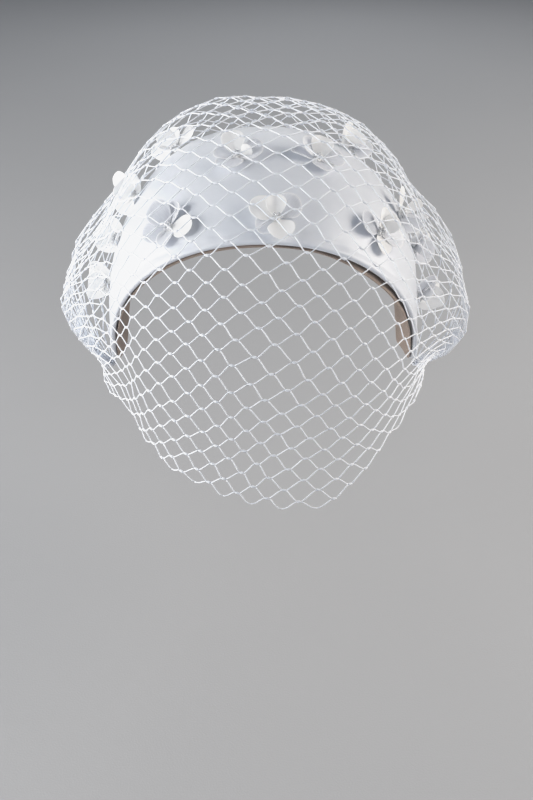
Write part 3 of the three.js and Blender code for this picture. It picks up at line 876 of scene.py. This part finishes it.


# ---- flowers ----

# Each petal: angle (0 forward, 90 to the right), kind (s sheer, g sheer darkened as painted shade, w white),
# length, width, lift at its foot, curl back of its outer part, crease along its middle, and twist that turns
# its face forward
PETALS = {
    "top_left": [
        (190, "w", 13.5, 13, 46, 14, 0.5, 0), (100, "s", 15, 13.5, 14, 4, 0.0, 18),
        (80, "w", 9, 10, 14, -6, 0.1, 62), (335, "s", 14.5, 15, 8, 6, 0.0, 0),
        (270, "s", 12, 12, 20, 8, 0.2, 10),
    ],
    "top_right": [
        (265, "s", 15, 10, 6, 2, 0.1, 0), (222, "s", 14, 13, 32, 6, 0.1, 0),
        (178, "w", 13, 12.5, 46, 10, 0.3, 0), (95, "s", 14, 12, 14, 6, 0.2, 15),
        (20, "s", 12, 12, 6, 4, 0.1, 0),
    ],
    "front_middle": [
        (240, "w", 15, 13.5, 16, 8, 0.0, 0), (187, "w", 11.5, 11, 42, 12, 0.6, 0),
        (137, "s", 15, 13.5, 14, 10, 0.0, 10), (20, "w", 13, 14, 10, 6, 0.3, 0),
        (312, "s", 12, 11, 6, 6, 0.1, 0),
    ],
    "front_left": [
        (55, "w", 14.5, 12.5, 4, 4, 0.0, 0), (141, "g", 13.5, 9, 14, 5, 0.2, 0),
        (190, "g", 15.5, 13.5, 32, 4, 0.0, 0), (250, "g", 16, 14.5, 8, 4, 0.0, 0),
        (320, "s", 11, 10, 8, 6, 0.2, 0),
    ],
    "front_right": [
        (285, "g", 16, 13, 8, 0, 0.0, 0), (215, "w", 13, 9, 36, 10, 0.5, 0),
        (165, "w", 12, 10, 50, 10, 0.3, 0), (115, "s", 15, 13, 16, 8, 0.1, 0),
        (30, "w", 12.5, 11, 8, 6, 0.1, 0),
    ],
    "crest_left": [
        (350, "w", 13, 12, 66, 6, 0.3, 0), (180, "w", 13.5, 13, 58, 10, 0.2, 0),
        (90, "w", 15.5, 7, 16, 0, 0.6, 62), (265, "w", 14.5, 12, 22, 4, 0.2, 62),
        (225, "s", 12, 12, 40, 6, 0.1, 0),
    ],
    "crest_right": [
        (270, "w", 13, 12.5, 45, 0, 0.0, 76), (180, "w", 13, 13, 50, 8, 0.1, 0),
        (350, "w", 12, 12, 62, 6, 0.1, 0), (90, "s", 13, 12, 22, 6, 0.2, 62),
        (40, "s", 12, 12, 30, 6, 0.1, 0),
    ],
    "shoulder_left": [
        (20, "w", 14, 13, 64, 8, 0.1, 0), (170, "w", 16, 11, 66, -4, 0.3, 0),
        (270, "w", 14, 13, 14, 6, 0.1, 72), (225, "w", 13, 12, 36, 6, 0.1, 20),
        (95, "w", 12, 10, 34, 6, 0.2, 62),
    ],
    "shoulder_right": [
        (268, "w", 15.5, 7.5, 28, 4, 0.5, 30), (180, "w", 13, 7, 76, 4, 0.5, 0),
        (60, "s", 15, 13, 56, 0, 0.0, 20), (285, "s", 14, 9, 6, 2, 0.2, 0),
        (95, "s", 15, 13, 20, 4, 0.1, 72),
    ],
    "side_left": [
        (0, "w", 13, 13, 62, 6, 0.1, 0), (180, "w", 13, 13, 54, 10, 0.1, 0),
        (90, "w", 12.5, 12, 30, 6, 0.2, 72), (270, "w", 12.5, 12, 30, 6, 0.2, 72),
        (230, "s", 12, 12, 42, 6, 0.1, 20),
    ],
    "side_right": [
        (0, "s", 13, 13, 60, 6, 0.1, 0), (180, "w", 13, 12, 56, 8, 0.1, 0),
        (95, "s", 13, 13, 30, 6, 0.1, 62), (265, "w", 12, 11, 34, 6, 0.3, 72),
        (310, "s", 12, 12, 40, 6, 0.1, 20),
    ],
    "end_left": [
        (80, "w", 14, 13, 30, 4, 0.1, 76), (0, "w", 13, 13, 60, 6, 0.1, 0),
        (180, "w", 13.5, 13, 56, 8, 0.1, 0), (278, "w", 14, 11, 36, 4, 0.2, 76),
        (230, "w", 12, 12, 44, 6, 0.1, 20),
    ],
    "end_right": [
        (0, "w", 14.5, 14, 66, 0, 0.1, 0), (180, "w", 14, 14, 58, 8, 0.1, 0),
        (100, "w", 13, 12, 32, 4, 0.1, 72), (262, "s", 13, 12, 32, 4, 0.1, 72),
        (305, "s", 12, 12, 44, 6, 0.1, 20),
    ],
}
KINDS = "sgw"
PETAL_THICK = 0.16
PETAL_RINGS, PETAL_ROUND = 9, 30
LAST_RING = 0.94  # share of the way to the edge at the ring inside it
PETAL_START = 1.2  # from the flower's middle
PETAL_HEART = 0.98  # of the blade's half width, from its tip back to its rings' middle
PETAL_FOOT = 1.1  # above the satin
PETAL_CUP = 0.012  # rise of its sides for each square millimetre across
PETAL_WAVE = 0.28  # height of the soft wave along its edge
WAVE_SHARES = ((2, 1.0), (3, 0.4))  # waves round the edge, and their share of that height
PETAL_TAPER = 0.35  # how much narrower it gets at its foot
WOBBLES = ((3, 0.02), (5, 0.012))  # of its outline: waves round it, and their share of its size
PROFILE_REACH, PROFILE_STEPS = 1.15, 60  # of the line that its middle follows, in its lengths
CURL_FROM = 0.35  # share of its length at which it starts to curl back
TWIST_TO = 0.5  # share of its length in which it turns its face forward
CREASE_RISE, CREASE_ROUND, CREASE_DRAW = 0.55, 1.0, 0.15  # a crease lifts, rounds and draws in its sides
RIM_POWER = 10  # how close to the edge its sealed cut stays
BOSS_FOOT, BOSS_HEIGHT, BOSS_RADIUS, BOSS_CLOSE = 0.35, 1.7, 2.3, 0.03
BOSS_RINGS, BOSS_SIDES = 6, 12


def flower_frame(name):
    """Point of the satin under a flower's crystals, and its forward, right and outward directions."""
    low, high = (np.array(corner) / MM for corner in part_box("bead_" + name))
    centre = (low + high) / 2
    normal = form_normal(centre)
    foot = centre - normal * BEAD_HEIGHT
    forward = unit(np.array([0, -1.0, 0]) - normal * -normal[1])
    return foot, forward, unit(np.cross(normal, forward)), normal


def petal_blade(rng, length, width):
    """Rings round the middle of a petal's blade: share of the way to its edge, angle round it, and x and y
    of the flat cloth."""
    rho = np.append(np.linspace(0, LAST_RING, PETAL_RINGS - 1), 1)[:, None]
    phi = np.linspace(0, 2 * np.pi, PETAL_ROUND, endpoint=False)
    radius = width / 2
    heart = length - radius * PETAL_HEART
    outward = np.cos(phi)
    x = heart + rho * outward * np.where(outward > 0, length - heart, heart - PETAL_START)
    taper = 1 - PETAL_TAPER * np.clip(-outward, 0, 1) ** 2
    y = rho * radius * np.sin(phi) * taper
    wobble = 1
    for count, share in WOBBLES:
        wobble = wobble + share * rho * np.sin(phi * count + rng.uniform(0, 6))
    return rho, phi, heart + (x - heart) * wobble, y * wobble


def petal_sheet(rng, spec):
    """Coordinates of one petal, x out from the flower's middle, y across and z up, with its rim and flat
    coordinates. It rises from its foot and curls back towards its tip."""
    angle, _, length, width, lift, curl, crease, twist = spec
    rho, phi, x, y = petal_blade(rng, length, width)
    along = x / length
    t = np.linspace(0, PROFILE_REACH, PROFILE_STEPS)
    slope = np.radians(lift - curl * smoothstep(t, CURL_FROM, 1.0))
    step = length * (t[1] - t[0])
    out = np.interp(along, t, np.cumsum(np.cos(slope)) * step - step)
    up = np.interp(along, t, np.cumsum(np.sin(slope)) * step)
    cup = PETAL_CUP * y ** 2
    wave = rho ** 2 * PETAL_WAVE * sum(share * np.sin(phi * count + rng.uniform(0, 6))
                                       for count, share in WAVE_SHARES)
    fold = crease * (np.sqrt(y ** 2 + CREASE_ROUND ** 2) - CREASE_ROUND) * CREASE_RISE
    turn = np.radians(twist) * smoothstep(along, 0, TWIST_TO) * (1 if angle < 180 else -1)
    side, rise = y * (1 - CREASE_DRAW * crease), cup + wave + fold
    place = stack(out, side * np.cos(turn) - rise * np.sin(turn),
                  up + side * np.sin(turn) + rise * np.cos(turn))
    return place, np.broadcast_to(rho, x.shape) ** RIM_POWER, stack(x, y, 0 * x)


def petal_solid(rng, spec, foot, forward, right, normal):
    """Points, faces, rim values and flat coordinates of one petal as a thin closed solid."""
    sheet, rim, flat = petal_sheet(rng, spec)
    angle = np.radians(spec[0])
    out = forward * math.cos(angle) + right * math.sin(angle)
    across = np.cross(normal, out)
    base = foot + normal * PETAL_FOOT
    points = base + sheet[..., :1] * out + sheet[..., 1:2] * across + sheet[..., 2:] * normal
    run = np.gradient(points, axis=0)
    turn = np.roll(points, -1, axis=1) - np.roll(points, 1, axis=1)
    face = unit(np.cross(run, turn))
    face[0] = unit(face[1:3].mean((0, 1)))
    top, low = points + face * PETAL_THICK / 2, points - face * PETAL_THICK / 2
    # The middle ring is one point, kept once on each side.
    rings = np.concatenate([low[1:], top[1:][::-1]])
    size = PETAL_ROUND
    solid = np.concatenate([rings.reshape(-1, 3), low[:1, 0], top[:1, 0]])
    faces = ring_faces(0, len(rings), size).tolist()
    count = len(rings) * size
    for k in range(size):
        nxt = (k + 1) % size
        faces.append([count, nxt, k])
        faces.append([count + 1, count - size + k, count - size + nxt])
    rims = np.concatenate([np.concatenate([rim[1:], rim[1:][::-1]]).ravel(), [0, 0]])
    grid = np.concatenate([flat[1:], flat[1:][::-1]]).reshape(-1, 3)
    return solid, faces, rims, np.concatenate([grid, flat[:1, 0], flat[:1, 0]])


def boss_solid(foot, forward, normal):
    """The small sewn boss that the petals meet on, in the same form as a petal's solid."""
    t = np.linspace(0, 1, BOSS_RINGS)
    path = foot + normal * (BOSS_FOOT + BOSS_HEIGHT * t)[:, None]
    radii = BOSS_RADIUS * np.sqrt(np.maximum(1 - t ** 3, BOSS_CLOSE))
    points, faces = tubes(path[None], radii[None], forward, BOSS_SIDES)
    return points, faces, np.zeros(len(points)), points - foot


def petal_looks():
    """The materials of the three kinds of petal, in the order of KINDS."""
    return [petal_material("sheer_petal", (0.84, 0.86, 0.92), (1.0, 1.0, 1.0), 0.4, alpha=(0.68, 0.97)),
            # The g kind is the sheer cloth darkened: painted shade for petals that sit less lit.
            petal_material("sheer_petal_painted_shade", (0.58, 0.605, 0.665), (0.95, 0.96, 1.0), 0.4, alpha=(0.74, 0.97)),
            petal_material("white_petal", (0.96, 0.955, 0.935), (1.0, 0.995, 0.98), 0.55)]


def add_flowers():
    looks = petal_looks()
    for number, (name, specs) in enumerate(PETALS.items()):
        rng = np.random.default_rng(100 + number)
        foot, forward, right, normal = flower_frame(name)
        solids = [petal_solid(rng, spec, foot, forward, right, normal) for spec in specs]
        solids.append(boss_solid(foot, forward, normal))
        kinds = [spec[1] for spec in specs] + ["w"]
        slots = [KINDS.index(kind) for kind, solid in zip(kinds, solids) for _ in solid[1]]
        points, faces = merge([solid[:2] for solid in solids])
        rims, grids = (np.concatenate([solid[k] for solid in solids]) for k in (2, 3))
        piece = add_mesh("petals_" + name, points, faces, looks, values={"rim": rims, "petal": grids},
                         slots=slots)
        declare(piece, "flower_" + name)


# ---- crystals ----

CRYSTAL_RADIUS = 0.85
FACETS = 7  # round a crystal
# The rings of a crystal's facets: height and radius, as shares of its own
FACET_RINGS = np.array([(-0.86, 0.45), (-0.45, 0.88), (0.0, 1.0), (0.45, 0.88), (0.86, 0.45)])
TOP_CRYSTAL, TOP_HEIGHT = CRYSTAL_RADIUS * 1.15, 4.1
RING_HEIGHT = 3.1  # of the crystals round it
# Ranges for each of those: how far it strays in angle (radians) and height, and its reach, lean and size
ANGLE_STRAY, HEIGHT_STRAY = (-0.25, 0.25), (-0.15, 0.35)
RING_REACH, RING_LEAN, RING_SIZE = (1.5, 1.9), (0.2, 0.9), (0.8, 1.05)


def faceted(centre, radius, turn, axis, side):
    """A round bead cut with flat facets: rings of points round axis."""
    height, wide = FACET_RINGS.T * radius
    angle = np.radians(turn) + 2 * np.pi * np.arange(FACETS) / FACETS
    other = np.cross(axis, side)
    ring = side * np.cos(angle)[:, None] + other * np.sin(angle)[:, None]
    points = centre + ring[None] * wide[:, None, None] + axis * height[:, None, None]
    rows = len(FACET_RINGS)
    caps = [list(range(FACETS))[::-1], [(rows - 1) * FACETS + k for k in range(FACETS)]]
    return points.reshape(-1, 3), ring_faces(0, rows, FACETS).tolist() + caps


def add_crystals():
    glass = crystal_material()
    for number, name in enumerate(PETALS):
        rng = np.random.default_rng(200 + number)
        foot, forward, right, normal = flower_frame(name)
        beads = [faceted(foot + normal * TOP_HEIGHT, TOP_CRYSTAL, 10, normal, forward)]
        count = int(rng.integers(5, 7))  # five or six
        for k in range(count):
            angle = 2 * math.pi * k / count + rng.uniform(*ANGLE_STRAY)
            way = forward * math.cos(angle) + right * math.sin(angle)
            height = RING_HEIGHT + rng.uniform(*HEIGHT_STRAY)
            place = foot + normal * height + way * rng.uniform(*RING_REACH)
            axis = unit(normal + way * rng.uniform(*RING_LEAN))
            beads.append(faceted(place, CRYSTAL_RADIUS * rng.uniform(*RING_SIZE), rng.uniform(0, 60), axis,
                                 unit(np.cross(axis, forward + normal * 0.3))))
        points, faces = merge(beads)
        piece = add_mesh("crystals_" + name, points, faces, [glass], smooth=False)
        declare(piece, "bead_" + name)


# ---- build ----

add_camera()
add_sky()
for lamp_row in LAMPS:
    add_lamp(*lamp_row)
add_floor()
soften_highlights()
add_cover()
add_lining()
add_netting()
add_flowers()
add_crystals()
